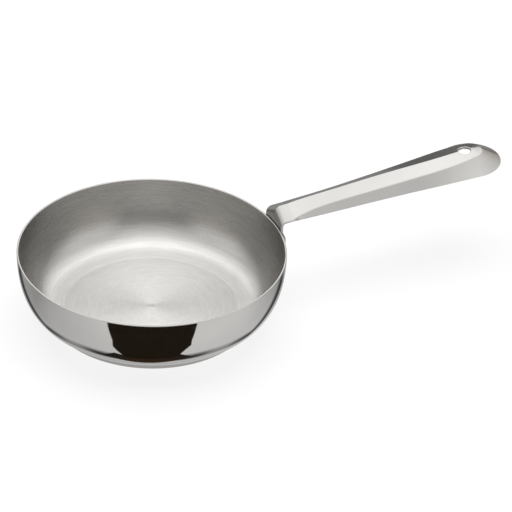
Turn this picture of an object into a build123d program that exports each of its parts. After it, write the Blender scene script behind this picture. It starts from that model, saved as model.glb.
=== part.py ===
from build123d import *
from math import cos, radians, sin, sqrt, tan
import os

# Small round omelette pan: pressed bowl, bonded base and one welded sheet handle.
# Millimetres. +Z is up and +X runs along the handle.
# The origin is on the pan's axis, in the flat face that it stands on.

os.makedirs("parts", exist_ok=True)

# Bowl
rim_radius = 80.0
bowl_depth = 39.9
floor_radius = 51.8
wall_thickness = 1.2
floor_edge_angle = 12.0
rim_rounding = 0.45

# Bonded base
base_radius = 62.2
core_thickness = 2.1
cap_thickness = 0.6
base_edge_radius = 3.3
seam_groove = 0.3

# Handle sheet
sheet = 1.5
edge_height = 1.3
grip_angle = 3.7
grip_length = 124.3
grip_half_width = 19.5
grip_height = 9.3
crease_half_width = 9.7
neck_reach = 9.0
neck_rise = 10.9
hole_radius = 4.0
hole_setback = 3.5
hole_rounding = 0.4
crease_rounding = 1.3
bend_rounding = 3.5

# Welded flange
flange_half_width = 17.0
flange_height = 22.0
flange_drop = 1.8
flange_corner = 6.0
flange_top_corner = 1.4
root_drop = 4.0
weld_gap = 0.2
weld_radius = 2.5
weld_spacing_y = 17.0
weld_spacing_z = 10.0

# How far cutters run past what they cut
overrun = 5.0

# Handle lengths that give the wall's curve, as shares of the straight line from floor to rim
floor_handle_share = 0.1
rim_handle_share = 0.85

# The grip's cross-section along its length: place, half-width at the foot, half-width at the crease,
# ridge height, crease drop below the ridge, and sag of the feet below their straight line.
# Places are shares of grip_length, and the rest are shares of the grip's own largest sizes.
grip_shares = (
    (0.161, 0.584, 0.799, 0.844, 0.433, 0.039),
    (0.370, 0.631, 0.826, 0.956, 0.417, 0.089),
    (0.579, 0.718, 0.913, 0.998, 0.370, 0.094),
    (0.788, 0.844, 0.997, 0.974, 0.252, 0.076),
    (0.909, 0.938, 0.975, 0.960, 0.186, 0.030),
    (1.000, 1.000, 0.830, 0.957, 0.151, 0.000),
)
neck_half_width_share = 0.533
neck_height_share = 0.7065

floor_z = cap_thickness + core_thickness + wall_thickness
rim_z = floor_z + bowl_depth

def wall_curve(start, end):
    """Control points of the wall, leaving the floor at its edge angle and upright at the rim."""
    straight = (Vector(*end) - Vector(*start)).length
    lean = radians(floor_edge_angle)
    rise = floor_handle_share * straight
    drop = rim_handle_share * straight
    leaving = (start[0] + rise * cos(lean), start[1] + rise * sin(lean))
    arriving = (end[0], end[1] - drop)
    return start, leaving, arriving, end

def wall_line(gap):
    """Wall curve that lies a gap outside the bowl's outer skin."""
    out = wall_thickness + gap
    corner = floor_radius + out * tan(radians(floor_edge_angle) / 2)
    return wall_curve((corner, floor_z - out), (rim_radius + gap, rim_z))

# Bowl: floor and wall are one pressed sheet
with BuildPart() as bowl:
    with BuildSketch(Plane.XZ):
        with BuildLine():
            outer = Bezier(*wall_line(0))
            inner = Bezier(*wall_curve((floor_radius, floor_z), (rim_radius - wall_thickness, rim_z)))
            Polyline(outer @ 0, (0, floor_z - wall_thickness), (0, floor_z), inner @ 0)
            Line(inner @ 1, outer @ 1)
        make_face()
    revolve(axis=Axis.Z)
    rim_edges = bowl.edges().group_by(Axis.Z)[-1]
    fillet(rim_edges, radius=rim_rounding)
bowl.part.label = "bowl"

# Everything that the bowl's outer skin encloses
with BuildPart() as bowl_space:
    with BuildSketch(Plane.XZ):
        with BuildLine():
            skin = Bezier(*wall_line(0))
            Polyline(skin @ 0, (0, floor_z - wall_thickness), (0, rim_z), skin @ 1)
        make_face()
    revolve(axis=Axis.Z)

# Heat-spreading disc: its top fits the underside of the bowl
core_radius = base_radius - cap_thickness
with BuildPart() as core_space:
    with BuildSketch(Plane.XY.offset(cap_thickness)):
        Circle(core_radius)
    extrude(amount=floor_z)
    lower_rim = core_space.edges().group_by(Axis.Z)[0]
    fillet(lower_rim, radius=base_edge_radius - cap_thickness)

with BuildPart() as base_core:
    add(core_space.part)
    add(bowl_space.part, mode=Mode.SUBTRACT)
base_core.part.label = "base_core"

# Capsule: thin sheet under and around the disc, up to the underside of the wall
with BuildPart() as base_cap:
    with BuildSketch():
        Circle(base_radius)
    extrude(amount=cap_thickness + floor_z)
    cap_foot = base_cap.edges().group_by(Axis.Z)[0]
    fillet(cap_foot, radius=base_edge_radius)
    add(core_space.part, mode=Mode.SUBTRACT)
    add(bowl_space.part, mode=Mode.SUBTRACT)
    seam = base_cap.edges().filter_by(GeomType.CIRCLE).group_by(Axis.Z)[-1].sort_by(SortBy.RADIUS)[-1]
    seam_z = (seam @ 0).Z
    with BuildSketch(Plane.XZ):
        with Locations((base_radius, seam_z)):
            Circle(seam_groove)
    revolve(axis=Axis.Z, mode=Mode.SUBTRACT)
base_cap.part.label = "base_cap"

def section_plane(x, z, angle):
    """Plane across the handle: its X is the width and its Y points out of the sheet's top face."""
    return Plane(origin=(x, 0, z), x_dir=(0, 1, 0), z_dir=(cos(angle), 0, sin(angle)))

def sheet_section(foot, crease, height, drop):
    """Half outline of the bent sheet: foot, crease and ridge outside, then the same inside."""
    crease_z = height - drop
    roof = drop / crease
    flank = (foot - crease) / crease_z
    roof_down = sheet * sqrt(1 + roof * roof)
    flank_in = sheet * sqrt(1 + flank * flank)
    inner_foot = foot - flank_in
    inner_ridge = height - roof_down
    inner_crease = (inner_foot - flank * inner_ridge) / (1 - flank * roof)
    return (
        (foot, 0),
        (crease, crease_z),
        (0, height),
        (0, inner_ridge),
        (inner_crease, inner_ridge - roof * inner_crease),
        (inner_foot, 0),
    )

def mirrored(half):
    """Half outline that ends on the middle line, followed by its mirror image."""
    return list(half) + [(-u, v) for u, v in reversed(half[:-1])]

def section_face(plane, outline):
    """Face inside a closed outline on its plane."""
    with BuildSketch(plane) as section:
        with BuildLine():
            Polyline(*outline, close=True)
        make_face()
    return section.sketch.face()

def sheet_face(plane, half):
    """Face of a whole cross-section of the bent sheet."""
    under = mirrored(half[:2:-1])
    return section_face(plane, mirrored(half[:3]) + under[::-1])

# The grip starts where the neck ends and rises at its own angle
grip_rise = radians(grip_angle)
neck_end_height = neck_height_share * grip_height
neck_half_width = neck_half_width_share * grip_half_width
grip_x = rim_radius + neck_reach
grip_z = rim_z + neck_rise - neck_end_height
edge_draft = sheet / 10

def on_grip(along, sag=0):
    """Section plane at a distance along the grip, lowered by a sag."""
    x = grip_x + along * cos(grip_rise) + sag * sin(grip_rise)
    z = grip_z + along * sin(grip_rise) - sag * cos(grip_rise)
    return section_plane(x, z, grip_rise)

neck_end = sheet_section(
    neck_half_width, neck_half_width - edge_draft, neck_end_height, neck_end_height - edge_height
)
grip_sections = [
    sheet_section(foot * grip_half_width, crease * crease_half_width, high * grip_height, drop * grip_height)
    for place, foot, crease, high, drop, sag in grip_shares
]
grip_planes = [on_grip(row[0] * grip_length, row[5] * grip_height) for row in grip_shares]

# Room that the handle leaves for the wall: the weld gap lies all round it
with BuildPart() as wall_room:
    with BuildSketch(Plane.XZ):
        with BuildLine():
            side = Bezier(*wall_line(weld_gap))
            Polyline(side @ 0, (0, floor_z - wall_thickness), (0, rim_z), side @ 1)
        make_face()
    revolve(axis=Axis.Z)

# Flange: a band of sheet that follows the wall, cut to a rounded shape
with BuildPart() as flange:
    with BuildSketch(Plane.XZ):
        with BuildLine():
            near = Bezier(*wall_line(weld_gap))
            far = Bezier(*wall_line(weld_gap + sheet))
            Line(near @ 0, far @ 0)
            Line(near @ 1, far @ 1)
        make_face()
    revolve(axis=Axis.Z)
    with BuildSketch(Plane.YZ):
        with Locations((0, rim_z - flange_drop - flange_height / 2)):
            shield = Rectangle(2 * flange_half_width, flange_height)
        fillet(shield.vertices().group_by(Axis.Y)[0], radius=flange_corner)
        fillet(shield.vertices().group_by(Axis.Y)[-1], radius=flange_top_corner)
    extrude(amount=rim_radius + overrun, mode=Mode.INTERSECT)

# Neck: the grip's roof runs on to the wall, where its bent-down front joins the flange.
# The front stands a little clear of the flange's own line, so that it passes the rim freely.
front_radius = rim_radius + 2 * weld_gap
neck_run = neck_reach + overrun
neck_depth = grip_z - rim_z + root_drop

def from_axis(edge):
    """Distance of an edge's middle from the pan's axis."""
    middle = edge @ 0.5
    return round(sqrt(middle.X**2 + middle.Y**2), 2)

def is_bend(edge):
    """Whether an edge of the neck's front runs across it, along the roof."""
    return (edge @ 0.5).Z > grip_z - sheet and abs(edge.tangent_at(0.5).Y) > 0.5

def neck_block(half, radius, rounding):
    """Solid under the neck's roof and outside a radius, rounded where its roof meets its front."""
    with BuildPart() as block:
        extrude(section_face(on_grip(0), mirrored(half)), amount=neck_run, dir=-on_grip(0).z_dir)
        with Locations((0, 0, rim_z)):
            Cylinder(radius=radius, height=4 * neck_depth + 4 * neck_rise, mode=Mode.SUBTRACT)
        front = block.edges().group_by(from_axis)[0]
        fillet(front.filter_by(is_bend), radius=rounding)
    return block.part

foot, crease, ridge, under_ridge = neck_end[:4]
roof_slope = (ridge[1] - crease[1]) / crease[0]
clear = foot[0] + sheet
solid_half = [(foot[0], -neck_depth), foot, crease, ridge]
hollow_half = [(clear, -neck_depth - sheet), (clear, 0), (under_ridge[1] / roof_slope, 0), under_ridge]
outside = neck_block(solid_half, front_radius, bend_rounding)
inside = neck_block(hollow_half, front_radius + sheet, bend_rounding - sheet)

grip_faces = [sheet_face(on_grip(0), neck_end)]
for plane, half in zip(grip_planes, grip_sections):
    grip_faces.append(sheet_face(plane, half))
tip_plane = on_grip(grip_length)
hole_section = on_grip(grip_length - hole_setback)
hole_plane = Plane(origin=hole_section.origin, x_dir=hole_section.z_dir, z_dir=hole_section.y_dir)

crease_start = neck_half_width - edge_draft
crease_starts = [on_grip(0).from_local_coords((side, edge_height)) for side in (-crease_start, crease_start)]

def above_feet(edge):
    """Height of an edge's middle above the plane through the grip's feet."""
    return (edge @ 0.5 - tip_plane.origin).dot(tip_plane.y_dir)

# Handle: bent neck, ridged grip and rounded tip are one sheet with the flange
with BuildPart() as handle:
    add(outside)
    add(inside, mode=Mode.SUBTRACT)
    loft(grip_faces)
    with BuildSketch(tip_plane):
        with BuildLine():
            Polyline(*grip_sections[-1], close=True)
        make_face()
    revolve(axis=Axis(tip_plane.origin, tip_plane.y_dir), revolution_arc=-180)
    long_edges = handle.edges().filter_by(lambda edge: edge.length > grip_length / 2)
    creases = [long_edges.sort_by_distance(start)[0] for start in crease_starts]
    fillet(creases, radius=crease_rounding)
    add(flange.part)
    add(wall_room.part, mode=Mode.SUBTRACT)
    with BuildSketch(hole_plane):
        Circle(hole_radius)
    extrude(amount=grip_height + overrun, mode=Mode.SUBTRACT)
    hole_edges = sorted(handle.edges(Select.NEW), key=above_feet)
    sheet_middle = (above_feet(hole_edges[0]) + above_feet(hole_edges[-1])) / 2
    upper_edges = [edge for edge in hole_edges if above_feet(edge) > sheet_middle]
    fillet(upper_edges, radius=hole_rounding)

handle.part.label = "handle"

# Weld nuggets: they bridge the gap between flange and wall
with BuildPart() as handle_welds:
    with BuildSketch(Plane.XZ):
        with BuildLine():
            wall_side = Bezier(*wall_line(0))
            flange_side = Bezier(*wall_line(weld_gap))
            Line(wall_side @ 0, flange_side @ 0)
            Line(wall_side @ 1, flange_side @ 1)
        make_face()
    revolve(axis=Axis.Z)
    with BuildSketch(Plane.YZ):
        with Locations((0, rim_z - flange_drop - flange_height / 2)):
            with GridLocations(weld_spacing_y, weld_spacing_z, 2, 2):
                Circle(weld_radius)
    extrude(amount=rim_radius + overrun, mode=Mode.INTERSECT)
handle_welds.part.label = "handle_welds"

export_step(bowl.part, "parts/bowl.step")
export_step(base_core.part, "parts/base_core.step")
export_step(base_cap.part, "parts/base_cap.step")
export_step(handle.part, "parts/handle.step")
export_step(handle_welds.part, "parts/handle_welds.step")
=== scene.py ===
"""Small round omelette pan, dressed for rendering around its CAD model. Metres; +X runs along the handle."""
import math

import bmesh
import bpy
from mathutils import Matrix, Vector


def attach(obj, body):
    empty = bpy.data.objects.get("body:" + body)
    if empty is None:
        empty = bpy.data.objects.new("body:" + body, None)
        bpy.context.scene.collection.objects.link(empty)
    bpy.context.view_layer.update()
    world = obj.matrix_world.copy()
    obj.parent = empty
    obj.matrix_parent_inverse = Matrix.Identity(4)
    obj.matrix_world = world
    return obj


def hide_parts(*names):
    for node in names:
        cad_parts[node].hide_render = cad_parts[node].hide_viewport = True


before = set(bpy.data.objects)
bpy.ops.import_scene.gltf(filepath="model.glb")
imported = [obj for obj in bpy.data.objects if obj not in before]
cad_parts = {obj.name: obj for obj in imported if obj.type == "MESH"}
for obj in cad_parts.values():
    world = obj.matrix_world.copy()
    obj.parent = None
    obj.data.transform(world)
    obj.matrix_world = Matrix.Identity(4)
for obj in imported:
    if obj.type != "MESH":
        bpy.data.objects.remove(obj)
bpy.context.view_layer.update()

# Sizes that the CAD model also has, in metres
RIM_RADIUS = 0.080
BOWL_DEPTH = 0.0399
FLOOR_RADIUS = 0.0518
WALL = 0.0012
FLOOR_EDGE_ANGLE = math.radians(12)
FLOOR_HANDLE_SHARE = 0.1
RIM_HANDLE_SHARE = 0.85
RIM_ROUNDING = 0.00045
CORE = 0.0021
CAP = 0.0006

FLOOR_Z = CAP + CORE + WALL
RIM_Z = FLOOR_Z + BOWL_DEPTH

# Inside finish and painted light, in metres: where the floor's grain ends on the wall, where the painted
# highlight on the wall's foot ends, and the mark at the floor's centre
FLOOR_BLEND = 0.002
FOOT_HEIGHT = 3 * FLOOR_BLEND
CENTRE_MARK = 0.002
# Rings of grain in a metre, how fast they change round the axis, and how the streaks along them stretch
RINGS_PER_METRE = 2600
RING_TURN = 1.2
STREAK_STRETCH = (0.26, 4, 4)
# Roughness on the floor and on the wall
INSIDE_ROUGHNESS = (0.52, 0.28)
INSIDE_ANISOTROPY = 0.75
# Shares of the steel's colour: the wall, the painted highlight that its foot adds, the floor from centre
# to edge painted lighter, and the mark
WALL_SHARE = 0.98
FOOT_PAINTED_HIGHLIGHT = 0.6
FLOOR_PAINTED_LIGHT = (1.36, 1.5)
MARK_SHARE = 0.85
# The handle's satin part: what it adds to the roughness, where it ends and how far it fades
SATIN_ROUGHNESS = 0.25
SATIN_END = 0.087
SATIN_FADE = 0.004

# Camera: solved from the rim, the floor circle and the base in the photograph
HANDLE_AZIMUTH = math.radians(26.5)
CAMERA_PITCH = math.radians(33.16)
CAMERA_ROLL = math.radians(2.14)
CAMERA_RIGHT = 0.7705 * RIM_RADIUS
CAMERA_BACK = 18.595 * RIM_RADIUS
CAMERA_UP = 12.627 * RIM_RADIUS
FOCAL_PIXELS = 3000
FRAME_PIXELS = 512
SENSOR = 36.0


# Nodes

def node(tree, kind, **values):
    """New node with its properties and inputs set by name."""
    made = tree.nodes.new(kind)
    for name, value in values.items():
        if name in made.inputs:
            made.inputs[name].default_value = value
        else:
            setattr(made, name, value)
    return made


def wire(tree, *pairs):
    """Links given as (output, input) pairs."""
    for start, end in pairs:
        tree.links.new(start, end)


def maths(tree, operation, first, second=None):
    """Math node on sockets or numbers."""
    made = node(tree, "ShaderNodeMath", operation=operation)
    for socket, value in zip(made.inputs, (first, second)):
        if value is None:
            continue
        if isinstance(value, (int, float)):
            socket.default_value = value
        else:
            tree.links.new(value, socket)
    return made.outputs[0]


def plain_material(name):
    """Material with only a Principled shader and its output."""
    material = bpy.data.materials.new(name)
    material.use_nodes = True
    return material, material.node_tree, material.node_tree.nodes["Principled BSDF"]


def map_range(tree, value, start, end, low, high):
    """Value carried linearly from one range to another, held at both ends."""
    limits = {"From Min": start, "From Max": end, "To Min": low, "To Max": high}
    made = node(tree, "ShaderNodeMapRange", **limits)
    tree.links.new(value, made.inputs["Value"])
    return made.outputs[0]


def coordinates(tree):
    """Object coordinates, whole and as X, Y and Z."""
    place = node(tree, "ShaderNodeTexCoord").outputs["Object"]
    split = node(tree, "ShaderNodeSeparateXYZ")
    wire(tree, (place, split.inputs[0]))
    return place, *split.outputs


def axis_distance(tree, x, y):
    """Distance from the pan's axis."""
    squares = maths(tree, "ADD", maths(tree, "MULTIPLY", x, x), maths(tree, "MULTIPLY", y, y))
    return maths(tree, "SQRT", squares)


def reach(tree, x, y, direction):
    """How far a point lies along a level direction."""
    return maths(tree, "ADD", maths(tree, "MULTIPLY", x, direction.x),
                 maths(tree, "MULTIPLY", y, direction.y))


def around_zero(tree, value, width):
    """Noise from 0 to 1 made into a spread about zero."""
    return maths(tree, "MULTIPLY", maths(tree, "SUBTRACT", value, 0.5), width)


def tinted(tree, share, color, dark, light):
    """Colour that a value carries from a darker to a lighter version of itself."""
    mix = node(tree, "ShaderNodeMix", data_type="RGBA")
    mix.inputs[6].default_value = [dark * c for c in color] + [1]
    mix.inputs[7].default_value = [min(1, light * c) for c in color] + [1]
    wire(tree, (share, mix.inputs[0]))
    return mix.outputs[2]


def ring_grain(tree, x, y, z, radius):
    """Noise in fine rings round the pan's axis, and softer streaks along them."""
    turn = maths(tree, "ARCTAN2", y, x)
    ring = node(tree, "ShaderNodeCombineXYZ")
    wire(tree, (maths(tree, "MULTIPLY", maths(tree, "ADD", radius, z), RINGS_PER_METRE), ring.inputs[0]),
         (maths(tree, "MULTIPLY", maths(tree, "SINE", turn), RING_TURN), ring.inputs[1]),
         (maths(tree, "MULTIPLY", maths(tree, "COSINE", turn), RING_TURN), ring.inputs[2]))
    lines = node(tree, "ShaderNodeTexNoise", Scale=1.0, Detail=3.0, Roughness=0.6)
    arcs = node(tree, "ShaderNodeVectorMath", operation="MULTIPLY")
    arcs.inputs[1].default_value = STREAK_STRETCH
    streaks = node(tree, "ShaderNodeTexNoise", Scale=1.0, Detail=3.0)
    wire(tree, (ring.outputs[0], lines.inputs["Vector"]), (ring.outputs[0], arcs.inputs[0]),
         (arcs.outputs[0], streaks.inputs["Vector"]))
    return lines.outputs[0], streaks.outputs[0]


def inside_painted_light_and_mark(tree, radius, z):
    """Share of the steel's colour: a painted highlight on the wall's foot, a floor painted lighter towards
    its edge, and a dull mark at its centre.
    """
    # Painted highlight: the wall's foot is painted lighter, fading out upwards
    foot = map_range(tree, z, FLOOR_Z, FLOOR_Z + FOOT_HEIGHT, FOOT_PAINTED_HIGHLIGHT, 0.0)
    wall = maths(tree, "ADD", foot, WALL_SHARE)
    mark = map_range(tree, radius, 0.7 * CENTRE_MARK, 1.3 * CENTRE_MARK, MARK_SHARE, 1.0)
    # Floor painted lighter from centre to edge, darker only at the spun centre mark
    floor = maths(tree, "MULTIPLY", mark, map_range(tree, radius, CENTRE_MARK, FLOOR_RADIUS, *FLOOR_PAINTED_LIGHT))
    mix = node(tree, "ShaderNodeMix", data_type="FLOAT")
    wire(tree, (maths(tree, "LESS_THAN", radius, FLOOR_RADIUS), mix.inputs[0]), (wall, mix.inputs[2]),
         (floor, mix.inputs[3]))
    return mix.outputs[0]


def cooking_metal(name, color):
    """Inside of the bowl: steel brushed in circles, with finer grain on the wall than on the floor; the floor
    and the wall's foot are painted lighter as painted highlight.
    """
    material, tree, shader = plain_material(name)
    shader.inputs["Metallic"].default_value = 1.0
    shader.inputs["Anisotropic"].default_value = INSIDE_ANISOTROPY
    shader.inputs["Anisotropic Rotation"].default_value = 0.25
    place, x, y, z = coordinates(tree)
    radius = axis_distance(tree, x, y)
    lines, streaks = ring_grain(tree, x, y, z, radius)
    cloud = node(tree, "ShaderNodeTexNoise", Scale=45.0, Detail=4.0)
    wire(tree, (place, cloud.inputs["Vector"]))
    uneven = maths(tree, "ADD", around_zero(tree, lines, 0.16), around_zero(tree, cloud.outputs[0], 0.06))
    satin = maths(tree, "ADD", uneven, map_range(tree, z, FLOOR_Z, FLOOR_Z + FLOOR_BLEND, *INSIDE_ROUGHNESS))
    # Colour scaled by the grain's streaks and by the painted light on the floor and the wall's foot
    streaks_and_painted_light = maths(tree, "MULTIPLY", map_range(tree, streaks, 0.3, 0.7, 0.95, 1.05),
                  inside_painted_light_and_mark(tree, radius, z))
    shaded = node(tree, "ShaderNodeVectorMath", operation="SCALE")
    bump = node(tree, "ShaderNodeBump", Strength=0.5, Distance=0.00002)
    tangent = node(tree, "ShaderNodeTangent", direction_type="RADIAL", axis="Z")
    wire(tree, (satin, shader.inputs["Roughness"]),
         (tinted(tree, lines, color, 0.93, 1.06), shaded.inputs[0]), (streaks_and_painted_light, shaded.inputs["Scale"]),
         (shaded.outputs[0], shader.inputs["Base Color"]), (lines, bump.inputs["Height"]),
         (bump.outputs[0], shader.inputs["Normal"]), (tangent.outputs[0], shader.inputs["Tangent"]))
    return material


def polished_metal(name, color, roughness, satin_end=0.0):
    """Buffed steel with the faintest waviness and small marks, satin up to a place along X."""
    material, tree, shader = plain_material(name)
    shader.inputs["Metallic"].default_value = 1.0
    place, x, _, _ = coordinates(tree)
    wave = node(tree, "ShaderNodeTexNoise", Scale=60.0, Detail=3.0)
    haze = node(tree, "ShaderNodeTexNoise", Scale=320.0, Detail=5.0)
    wire(tree, (place, wave.inputs["Vector"]), (place, haze.inputs["Vector"]))
    rough = maths(tree, "ADD", around_zero(tree, haze.outputs[0], 0.08), roughness)
    if satin_end:
        satin = map_range(tree, x, satin_end - SATIN_FADE, satin_end, SATIN_ROUGHNESS, 0.0)
        rough = maths(tree, "ADD", rough, satin)
    bump = node(tree, "ShaderNodeBump", Strength=0.05, Distance=0.00005)
    wire(tree, (rough, shader.inputs["Roughness"]),
         (tinted(tree, wave.outputs[0], color, 0.96, 1.04), shader.inputs["Base Color"]),
         (wave.outputs[0], bump.inputs["Height"]), (bump.outputs[0], shader.inputs["Normal"]))
    return material


# Meshes

def mesh_object(name, mesh):
    """Object for a mesh, in the scene."""
    made = bpy.data.objects.new(name, mesh)
    bpy.context.collection.objects.link(made)
    return made


def bezier(points, count):
    """Points along a cubic curve."""
    start, leaving, arriving, end = (Vector(p) for p in points)
    made = []
    for step in range(count + 1):
        t = step / count
        near = (1 - t) ** 3 * start + 3 * t * (1 - t) ** 2 * leaving
        made.append(near + 3 * t * t * (1 - t) * arriving + t**3 * end)
    return made


def wall_curve(start, end, count):
    """The wall's line from floor to rim, as the CAD model has it."""
    straight = (Vector(end) - Vector(start)).length
    rise = FLOOR_HANDLE_SHARE * straight
    leaving = (start[0] + rise * math.cos(FLOOR_EDGE_ANGLE), start[1] + rise * math.sin(FLOOR_EDGE_ANGLE))
    arriving = (end[0], end[1] - RIM_HANDLE_SHARE * straight)
    return bezier((start, leaving, arriving, end), count)


def outer_wall(gap, count):
    """Wall line at a gap outside the bowl's outer skin."""
    out = WALL + gap
    corner = FLOOR_RADIUS + out * math.tan(FLOOR_EDGE_ANGLE / 2)
    return wall_curve((corner, FLOOR_Z - out), (RIM_RADIUS + gap, RIM_Z), count)


def arc(centre, radius, first, last, count):
    """Points of an arc, angles in degrees."""
    made = []
    for step in range(count + 1):
        angle = math.radians(first + (last - first) * step / count)
        made.append(Vector((centre[0] + radius * math.cos(angle), centre[1] + radius * math.sin(angle))))
    return made


def lathe(name, outline, zones, turns=256):
    """Closed solid turned from an outline of (radius, height), with a material zone for each outline edge."""
    mesh = bpy.data.meshes.new(name)
    made = bmesh.new()
    rings = []
    for point in outline:
        if point[0] < 1e-9:
            rings.append([made.verts.new((0, 0, point[1]))])
            continue
        ring = []
        for step in range(turns):
            angle = 2 * math.pi * step / turns
            ring.append(made.verts.new((point[0] * math.cos(angle), point[0] * math.sin(angle), point[1])))
        rings.append(ring)
    for index, (low, high) in enumerate(zip(rings, rings[1:] + rings[:1])):
        if len(low) == 1 and len(high) == 1:
            continue
        for step in range(turns):
            after = (step + 1) % turns
            corners = [low[step % len(low)], low[after % len(low)],
                       high[after % len(high)], high[step % len(high)]]
            unique = []
            for corner in corners:
                if corner not in unique:
                    unique.append(corner)
            face = made.faces.new(unique)
            face.material_index = zones[index]
            face.smooth = True
    bmesh.ops.recalc_face_normals(made, faces=made.faces)
    made.to_mesh(mesh)
    made.free()
    return mesh_object(name, mesh)


def sharpen(piece, degrees):
    """Marks edges above an angle as sharp."""
    piece.data.set_sharp_from_angle(angle=math.radians(degrees))


# Materials

STEEL = (0.46, 0.452, 0.438)
inside = cooking_metal("bowl_inside_spun", STEEL)
outside = polished_metal("bowl_outside_polished", STEEL, 0.06)
base_edge = polished_metal("base_edge_polished", STEEL, 0.12)
handle_steel = polished_metal("handle_polished", STEEL, 0.14, satin_end=SATIN_END)
weld_steel = polished_metal("weld_metal", (0.45, 0.44, 0.43), 0.4)
core_metal = polished_metal("core_aluminium_rolled", (0.75, 0.75, 0.76), 0.4)


# Bowl

def make_bowl():
    """Floor, wall and rolled rim turned as one sheet."""
    floor = [Vector((FLOOR_RADIUS * step / 24, FLOOR_Z)) for step in range(25)]
    inner = wall_curve((FLOOR_RADIUS, FLOOR_Z), (RIM_RADIUS - WALL, RIM_Z), 48)
    outer = outer_wall(0, 48)
    rounding = RIM_ROUNDING
    inner[-1] = Vector((RIM_RADIUS - WALL, RIM_Z - rounding))
    outer[-1] = Vector((RIM_RADIUS, RIM_Z - rounding))
    rim_in = arc((RIM_RADIUS - WALL + rounding, RIM_Z - rounding), rounding, 180, 90, 5)[1:]
    rim_out = arc((RIM_RADIUS - rounding, RIM_Z - rounding), rounding, 90, 0, 5)[:-1]
    outline = floor + inner[1:] + rim_in + rim_out + outer[::-1] + [Vector((0, FLOOR_Z - WALL))]
    inside_edges = len(floor) + len(inner) - 2
    zones = [0] * inside_edges + [1] * (len(outline) - inside_edges)
    piece = lathe("bowl_shell", outline, zones)
    piece.data.materials.append(inside)
    piece.data.materials.append(outside)
    sharpen(piece, 9)
    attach(piece, "root")
    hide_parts("bowl")


make_bowl()

for name, material in (("base_cap", base_edge), ("base_core", core_metal), ("handle", handle_steel),
                       ("handle_welds", weld_steel)):
    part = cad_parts[name]
    part.data.materials.clear()
    part.data.materials.append(material)


# Stage: floor, dark cards that only the polished steel mirrors as painted reflections, lamps and world

# Heights of the stage's flat pieces, in metres, each clear of the next
FLOOR_LEVEL = -0.0003
MIRRORED_FLOOR_LEVEL = 0.0002
FOOT_CARD_LEVEL = 0.0003
FRONT_CARD_LEVEL = 0.0004
BROWN_CARD_LEVEL = 0.0005
# Half widths of the white floor and of the floor that only the steel mirrors, and the dome's radius
FLOOR_HALF = 3.0
MIRRORED_HALF = 0.34
DOME_RADIUS = 2.6
WHITE = (1.0, 1.0, 1.0)
WARM = (1.0, 0.93, 0.85)
# Mirrored floor: radii between which the painted shadow under the wall's overhang fades out, and the
# painted shadow line round the pan's foot, with its radius, width, where it starts to open outwards and
# where it fades out behind
OVERHANG_RADII = (0.0685, 0.0715)
LINE_RADIUS = 0.0745
LINE_WIDTH = 0.0034
LINE_OPENS = -0.033
LINE_FADES = (0.03, 0.06)
# The painted shadow line's brightness, by place towards the camera, and how far that goes
LINE_LEVELS = ((-0.074, 0.04), (-0.067, 0.08), (-0.061, 0.45), (-0.054, 0.5), (-0.048, 0.27), (-0.040, 0.12))
LINE_NEAR_END = -0.08


def glow_material(name, tone=WHITE, level=1.0):
    """Material that only glows, with its tree and its glow."""
    material = bpy.data.materials.new(name)
    material.use_nodes = True
    tree = material.node_tree
    tree.nodes.remove(tree.nodes["Principled BSDF"])
    glow = node(tree, "ShaderNodeEmission", Color=(*tone, 1), Strength=level)
    wire(tree, (glow.outputs[0], tree.nodes["Material Output"].inputs[0]))
    return material, tree, glow


def only_mirrored(piece):
    """Stage piece that only mirrors and steel see."""
    piece.visible_camera = False
    piece.visible_diffuse = False
    piece.visible_shadow = False


def card(name, corners, level, tone=WHITE):
    """Flat card of a steady brightness that only the steel sees, with its tree and its glow."""
    mesh = bpy.data.meshes.new(name)
    mesh.from_pydata(corners, [], [tuple(range(len(corners)))])
    material, tree, glow = glow_material(name + "_light", tone, level)
    mesh.materials.append(material)
    only_mirrored(mesh_object(name, mesh))
    return tree, glow


def square(half):
    """Corners of a square about the axis."""
    return ((-half, -half), (half, -half), (half, half), (-half, half))


right = Vector((math.cos(HANDLE_AZIMUTH), -math.sin(HANDLE_AZIMUTH), 0))
away = Vector((math.sin(HANDLE_AZIMUTH), math.cos(HANDLE_AZIMUTH), 0))
up = Vector((0, 0, 1))


def stage_point(to_right, to_away, height):
    """Point given in the camera's own directions on the floor."""
    return right * to_right + away * to_away + up * height


def make_floor():
    """White floor that keeps a faint soft shadow."""
    mesh = bpy.data.meshes.new("stage_floor")
    mesh.from_pydata([(x, y, FLOOR_LEVEL) for x, y in square(FLOOR_HALF)], [], [(0, 1, 2, 3)])
    piece = mesh_object("stage_floor", mesh)
    material, tree, shader = plain_material("stage_floor_white")
    shader.inputs["Base Color"].default_value = (0.2, 0.2, 0.2, 1)
    shader.inputs["Roughness"].default_value = 1.0
    shader.inputs["Specular IOR Level"].default_value = 0.0
    shader.inputs["Emission Color"].default_value = (1, 1, 1, 1)
    shader.inputs["Emission Strength"].default_value = 0.86
    mesh.materials.append(material)


make_floor()


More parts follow.
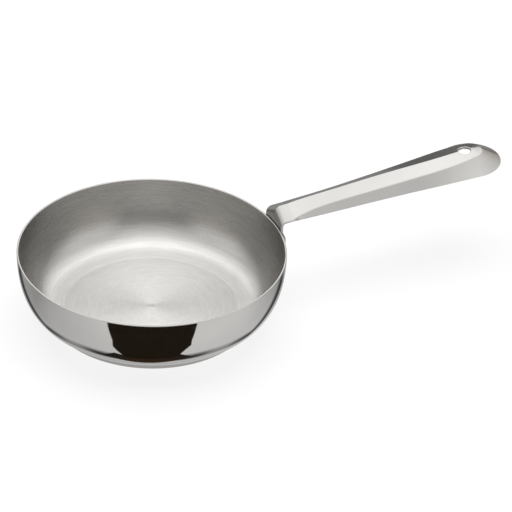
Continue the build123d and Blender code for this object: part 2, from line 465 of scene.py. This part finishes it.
def make_dome():
    """Soft sky that only the steel mirrors: dim at the horizon, bright overhead and behind."""
    made = bmesh.new()
    bmesh.ops.create_uvsphere(made, u_segments=48, v_segments=24, radius=DOME_RADIUS)
    below = [corner for corner in made.verts if corner.co.z < -1e-4]
    bmesh.ops.delete(made, geom=below, context="VERTS")
    mesh = bpy.data.meshes.new("stage_dome")
    made.to_mesh(mesh)
    made.free()
    material, tree, glow = glow_material("stage_dome_light")
    place = node(tree, "ShaderNodeTexCoord")
    direction = node(tree, "ShaderNodeVectorMath", operation="NORMALIZE")
    split = node(tree, "ShaderNodeSeparateXYZ")
    wire(tree, (place.outputs["Object"], direction.inputs[0]), (direction.outputs[0], split.inputs[0]))
    x, y, z = split.outputs
    behind = reach(tree, x, y, away)
    sideways = reach(tree, x, y, right)
    lean = maths(tree, "ADD", maths(tree, "MULTIPLY", behind, 0.54),
                 maths(tree, "MULTIPLY", maths(tree, "ABSOLUTE", behind), 0.18))
    dimming = maths(tree, "MULTIPLY", map_range(tree, sideways, 0.2, 0.5, 0.9, 0.73),
                    map_range(tree, sideways, -0.7, -0.1, 0.78, 1.0))
    level = maths(tree, "MULTIPLY", maths(tree, "ADD", maths(tree, "MULTIPLY", z, 2.0), lean), dimming)
    # Brighter low down at both sides and in the near quarters
    quarters = maths(tree, "MULTIPLY",
                     map_range(tree, maths(tree, "ABSOLUTE", sideways), 0.42, 0.62, 0.0, 0.6),
                     map_range(tree, z, 0.5, 0.75, 1.0, 0.0))
    quarters = maths(tree, "MULTIPLY", quarters, map_range(tree, behind, -0.1, 0.3, 1.0, 0.0))
    level = maths(tree, "ADD", level, quarters)
    # The light is a little warmer low down
    tone = node(tree, "ShaderNodeMix", data_type="RGBA")
    tone.inputs[6].default_value = (*WARM, 1)
    tone.inputs[7].default_value = (*WHITE, 1)
    wire(tree, (map_range(tree, z, 0.1, 0.5, 0.0, 1.0), tone.inputs[0]),
         (tone.outputs[2], glow.inputs["Color"]),
         (maths(tree, "MAXIMUM", level, 0.08), glow.inputs["Strength"]))
    mesh.materials.append(material)
    only_mirrored(mesh_object("stage_dome", mesh))


make_dome()


def shadow_line_brightness(tree, to_away):
    """Brightness of the painted shadow line, by place towards the camera."""
    ramp = node(tree, "ShaderNodeValToRGB")
    for place, value in LINE_LEVELS:
        stop = ramp.color_ramp.elements.new((place - LINE_NEAR_END) / -LINE_NEAR_END)
        stop.color = (value, value, value, 1)
    for end, value in ((0, LINE_LEVELS[0][1]), (-1, LINE_LEVELS[-1][1])):
        ramp.color_ramp.elements[end].color = (value, value, value, 1)
    wire(tree, (map_range(tree, to_away, LINE_NEAR_END, 0.0, 0.0, 1.0), ramp.inputs[0]))
    return ramp.outputs[0]


def make_mirrored_floor():
    """Floor that only the steel mirrors: brighter in front and to the right, with a painted shadow under the
    overhang and a painted shadow line at the foot.
    """
    corners = [stage_point(x, y, MIRRORED_FLOOR_LEVEL) for x, y in square(MIRRORED_HALF)]
    tree, glow = card("stage_mirrored_floor", corners, 1.0)
    _, x, y, _ = coordinates(tree)
    to_right = reach(tree, x, y, right)
    to_away = reach(tree, x, y, away)
    radius = axis_distance(tree, x, y)
    fall = maths(tree, "ADD", maths(tree, "MULTIPLY", to_right, 1.6), maths(tree, "MULTIPLY", to_away, -4.5))
    fall = maths(tree, "ADD", fall, maths(tree, "MULTIPLY", maths(tree, "MAXIMUM", to_away, -0.05), -4.0))
    level = maths(tree, "MINIMUM", maths(tree, "MAXIMUM", maths(tree, "ADD", fall, 0.465), 0.5), 1.15)
    # Under the wall's overhang the floor is dimmer: a painted shadow
    level = maths(tree, "MULTIPLY", level, map_range(tree, radius, *OVERHANG_RADII, 0.72, 1.0))
    # Painted shadow: a dark line along the lower edge of the mirroring wall, which opens outwards behind
    opening = maths(tree, "MAXIMUM", maths(tree, "SUBTRACT", to_away, LINE_OPENS), 0.0)
    line_radius = maths(tree, "ADD", maths(tree, "MULTIPLY", opening, 0.5), LINE_RADIUS)
    line_width = maths(tree, "ADD", maths(tree, "MULTIPLY", opening, 0.06), LINE_WIDTH)
    off_line = maths(tree, "DIVIDE", maths(tree, "SUBTRACT", radius, line_radius), line_width)
    # Sharp towards the pan and soft away from it
    off_line = maths(tree, "MAXIMUM", maths(tree, "MULTIPLY", off_line, 0.5),
                     maths(tree, "MULTIPLY", off_line, -1.0))
    in_shadow_line = maths(tree, "MULTIPLY", map_range(tree, off_line, 0.35, 1.1, 1.0, 0.0),
                    map_range(tree, to_away, *LINE_FADES, 1.0, 0.0))
    mix = node(tree, "ShaderNodeMix", data_type="FLOAT")
    wire(tree, (in_shadow_line, mix.inputs[0]), (level, mix.inputs[2]),
         (maths(tree, "MULTIPLY", level, shadow_line_brightness(tree, to_away)), mix.inputs[3]),
         (mix.outputs[0], glow.inputs["Strength"]))


make_mirrored_floor()


def patch(name, outline_mm, height, level, tone):
    """Card on the floor, from an outline in millimetres to the right and away."""
    card(name, [stage_point(x / 1000, y / 1000, height) for x, y in outline_mm], level, tone)


# Dark patch on the floor in front that only the steel sees: a painted reflection, mirrored low in the wall
patch("stage_front_card",
      ((-13, -76), (-19, -80), (-24, -84), (-29, -88), (-34, -98), (-47, -114), (-66, -137), (-60, -175),
       (90, -175), (90, -137), (60, -109), (45, -94), (40, -87), (32, -83), (26, -79), (22, -76)),
      FRONT_CARD_LEVEL, 0.022, (1.0, 0.70, 0.41))
# Where that patch meets the pan's foot the painted reflection is dark, with brown in the middle
patch("stage_foot_card", ((-24, -79), (-30, -70), (32, -70), (26, -79)), FOOT_CARD_LEVEL, 0.03,
      (1.0, 0.8, 0.6))
patch("stage_brown_card", ((-12, -77), (-18, -70), (20, -70), (14, -77)), BROWN_CARD_LEVEL, 0.05,
      (1.0, 0.55, 0.3))
# Dark far floor and wall low behind that only the steel sees: painted reflections in the handle's far face
far_floor = ((-0.5, 0.2), (0.9, 0.2), (1.1, 1.1), (-0.7, 1.1))
card("stage_far_floor_card", [stage_point(x, y, FRONT_CARD_LEVEL) for x, y in far_floor], 0.32)
back_wall = ((-0.7, 0.0), (0.6, 0.0), (0.6, 0.5), (-0.7, 0.5))
card("stage_back_card", [stage_point(x, 1.1, z) for x, z in back_wall], 0.2)


def lamp(name, place, target, size_x, size_y, power):
    """Rectangular soft lamp aimed at a point."""
    data = bpy.data.lights.new(name, "AREA")
    data.shape = "RECTANGLE"
    data.size = size_x
    data.size_y = size_y
    data.energy = power
    piece = bpy.data.objects.new(name, data)
    bpy.context.collection.objects.link(piece)
    piece.location = place
    piece.rotation_euler = (Vector(target) - Vector(place)).to_track_quat("-Z", "Y").to_euler()
    piece.visible_glossy = False


lamp("overhead_softbox", away * 0.35 + up * 1.3, (0, 0, 0), 1.6, 1.2, 20)


def make_world():
    """Plain soft world: white where it is seen, and a plain level where it lights."""
    world = bpy.data.worlds.new("studio")
    bpy.context.scene.world = world
    world.use_nodes = True
    tree = world.node_tree
    background = tree.nodes["Background"]
    background.inputs["Strength"].default_value = 0.6
    shown = node(tree, "ShaderNodeBackground", Color=(1, 1, 1, 1), Strength=1.0)
    path = node(tree, "ShaderNodeLightPath")
    seen = maths(tree, "MAXIMUM", path.outputs["Is Camera Ray"],
                 maths(tree, "MAXIMUM", path.outputs["Is Glossy Ray"], path.outputs["Is Transmission Ray"]))
    mix = node(tree, "ShaderNodeMixShader")
    wire(tree, (seen, mix.inputs[0]), (background.outputs[0], mix.inputs[1]),
         (shown.outputs[0], mix.inputs[2]), (mix.outputs[0], tree.nodes["World Output"].inputs[0]))


make_world()


# Camera

def make_camera():
    """Camera at the photograph's place, with its roll."""
    data = bpy.data.cameras.new("photo_camera")
    data.sensor_width = SENSOR
    data.sensor_fit = "HORIZONTAL"
    data.lens = FOCAL_PIXELS / FRAME_PIXELS * SENSOR
    data.clip_start = 0.05
    data.clip_end = 20
    piece = bpy.data.objects.new("photo_camera", data)
    bpy.context.collection.objects.link(piece)
    bpy.context.scene.camera = piece
    place = right * CAMERA_RIGHT - away * CAMERA_BACK + up * (FLOOR_Z + CAMERA_UP)
    forward = away * math.cos(CAMERA_PITCH) - up * math.sin(CAMERA_PITCH)
    level_up = away * math.sin(CAMERA_PITCH) + up * math.cos(CAMERA_PITCH)
    side = right * math.cos(CAMERA_ROLL) + level_up * math.sin(CAMERA_ROLL)
    top = level_up * math.cos(CAMERA_ROLL) - right * math.sin(CAMERA_ROLL)
    turn = Matrix((side, top, -forward)).transposed().to_4x4()
    piece.matrix_world = Matrix.Translation(place) @ turn


make_camera()
bpy.context.scene.view_settings.view_transform = "Standard"
